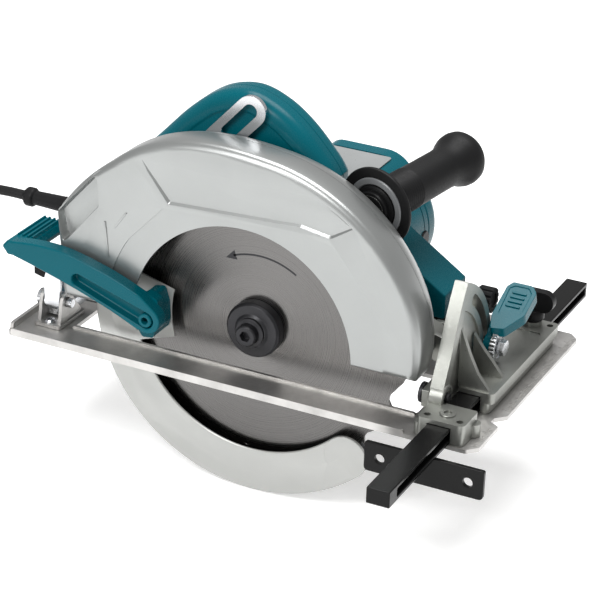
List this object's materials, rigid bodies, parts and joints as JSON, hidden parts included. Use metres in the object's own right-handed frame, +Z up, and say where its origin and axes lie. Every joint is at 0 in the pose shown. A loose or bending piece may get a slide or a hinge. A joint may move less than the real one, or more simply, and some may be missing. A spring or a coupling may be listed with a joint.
{
  "type": "circular saw",
  "caption": "Corded hand-held circular saw with a 270 mm blade, tilting base, sprung lower guard, side grip and parallel fence.",
  "frame": {"origin": "on the sole's underside, in the blade's middle plane, 185 mm in front of the blade's axis", "axes": "+X is the direction of cut, +Y runs from the blade to the motor, +Z is up from the sole"},
  "size_m": [0.6996, 0.414, 0.334],
  "materials": {
    "cast_silver": "satin die-cast, fine metallic lacquer",
    "guard_silver": "satin light grey lacquer",
    "alloy": "cast, matt",
    "teal": "glass-filled nylon, satin moulded",
    "black_plastic": "satin moulded",
    "black_rubber": "matt, fine texture",
    "steel": "brushed",
    "zinc": "bright zinc plate",
    "dark_steel": "blackened",
    "black_paint": "gloss black",
    "copper": "turned",
    "core": "laminated",
    "cord": "matt sheath"
  },
  "bodies": {
    "saw": {"blade_case": "cast_silver", "case_cover": "cast_silver", "gear_housing": "alloy", "motor_housing": "teal", "motor_end_cover": "teal", "nose_cover": "teal", "nose_bumper": "black_rubber", "handle_left": "teal", "handle_right": "teal", "switch_body": "black_plastic", "cord_guard": "black_rubber", "side_grip": "black_rubber", "grip_bolt": "zinc", "hanging_loop": "zinc", "stator": "core", "armature_front_bearing": "zinc", "armature_rear_bearing": "zinc", "carbon_brush_front": "dark_steel", "carbon_brush_rear": "dark_steel", "brush_cap_front": "black_plastic", "brush_cap_rear": "black_plastic", "spindle_front_bearing": "zinc", "spindle_rear_bearing": "zinc", "guard_retaining_ring": "steel", "guard_spring": "zinc", "depth_bolt": "zinc", "cord": "cord", "cord_coil": "cord", "plug": "black_rubber"},
    "bevel_frame": {"hinge_bracket": "alloy", "depth_pin": "zinc", "front_bevel_pin": "dark_steel", "bevel_bolt": "zinc", "bevel_washer": "zinc", "depth_guide": "zinc", "rear_bevel_pin": "zinc"},
    "base": {"base_plate": "steel", "front_casting": "alloy", "rear_bracket": "zinc"},
    "fence": {"fence_bar": "black_paint", "fence_plate": "black_paint"},
    "fence_knob": {"fence_knob": "black_plastic"},
    "bevel_lever": {"bevel_lever": "teal"},
    "depth_lever": {"depth_lever": "black_plastic"},
    "blade_assembly": {"spindle": "steel", "drive_gear": "dark_steel", "inner_flange": "dark_steel", "blade": "steel", "outer_flange": "dark_steel", "blade_bolt": "dark_steel"},
    "armature": {"armature_core": "core", "armature_shaft": "steel", "fan": "black_plastic", "commutator": "copper"},
    "guard": {"lower_guard": "guard_silver", "guard_lever": "teal"},
    "trigger": {"trigger": "black_plastic"},
    "lock_off_button": {"lock_off_button": "black_plastic"},
    "shaft_lock_button": {"shaft_lock_button": "black_plastic"}
  },
  "joints": [
    {"name": "depth_setting", "type": "hinge", "parent": "saw", "child": "bevel_frame", "pos_m": [-0.045, 0.03, 0.045], "axis": [0, -1, 0], "range_deg": [0, 15.5]},
    {"name": "bevel_tilt", "type": "hinge", "parent": "bevel_frame", "child": "base", "pos_m": [-0.02, -0.018, 0.023], "axis": [-1, 0, 0], "range_deg": [0, 45]},
    {"name": "fence_slide", "type": "slide", "parent": "base", "child": "fence", "axis": [0, 1, 0], "range_m": [-0.085, 0.018]},
    {"name": "fence_knob_turn", "type": "hinge", "parent": "base", "child": "fence_knob", "pos_m": [-0.0025, 0.142, 0.025], "axis": [0, 0, -1], "range_deg": [-180, 0]},
    {"name": "bevel_lever_turn", "type": "hinge", "parent": "bevel_frame", "child": "bevel_lever", "pos_m": [-0.005, 0.06102, 0.03551], "axis": [1, 0, 0], "range_deg": [0, 45]},
    {"name": "depth_lever_turn", "type": "hinge", "parent": "saw", "child": "depth_lever", "pos_m": [-0.34419, 0.025, 0.023], "axis": [0, 1, 0], "range_deg": [0, 20]},
    {"name": "blade_spin", "type": "hinge", "parent": "saw", "child": "blade_assembly", "pos_m": [-0.185, 0, 0.035], "axis": [0, -1, 0], "continuous": true},
    {"name": "armature_spin", "type": "hinge", "parent": "saw", "child": "armature", "pos_m": [-0.1675, 0, 0.06531], "axis": [0, -1, 0], "continuous": true},
    {"name": "guard_swing", "type": "hinge", "parent": "saw", "child": "guard", "pos_m": [-0.185, 0, 0.035], "axis": [0, 1, 0], "range_deg": [0, 110], "stiffness_Nm_per_rad": 0.35, "springref_deg": -91.67, "deforming": ["guard_spring"]},
    {"name": "trigger_pull", "type": "slide", "parent": "saw", "child": "trigger", "axis": [-0.682, 0, 0.7314], "range_m": [0, 0.005], "stiffness_N_per_m": 700, "springref_m": -0.003},
    {"name": "lock_off_press", "type": "slide", "parent": "saw", "child": "lock_off_button", "axis": [0, -1, 0], "range_m": [0, 0.004], "stiffness_N_per_m": 300, "springref_m": -0.002},
    {"name": "shaft_lock_press", "type": "slide", "parent": "saw", "child": "shaft_lock_button", "axis": [0, -1, 0], "range_m": [0, 0.003], "stiffness_N_per_m": 400, "springref_m": -0.002}
  ],
  "couplings": [
    {"joint": "armature_spin", "follows": "blade_spin", "ratio": -4.5556}
  ]
}
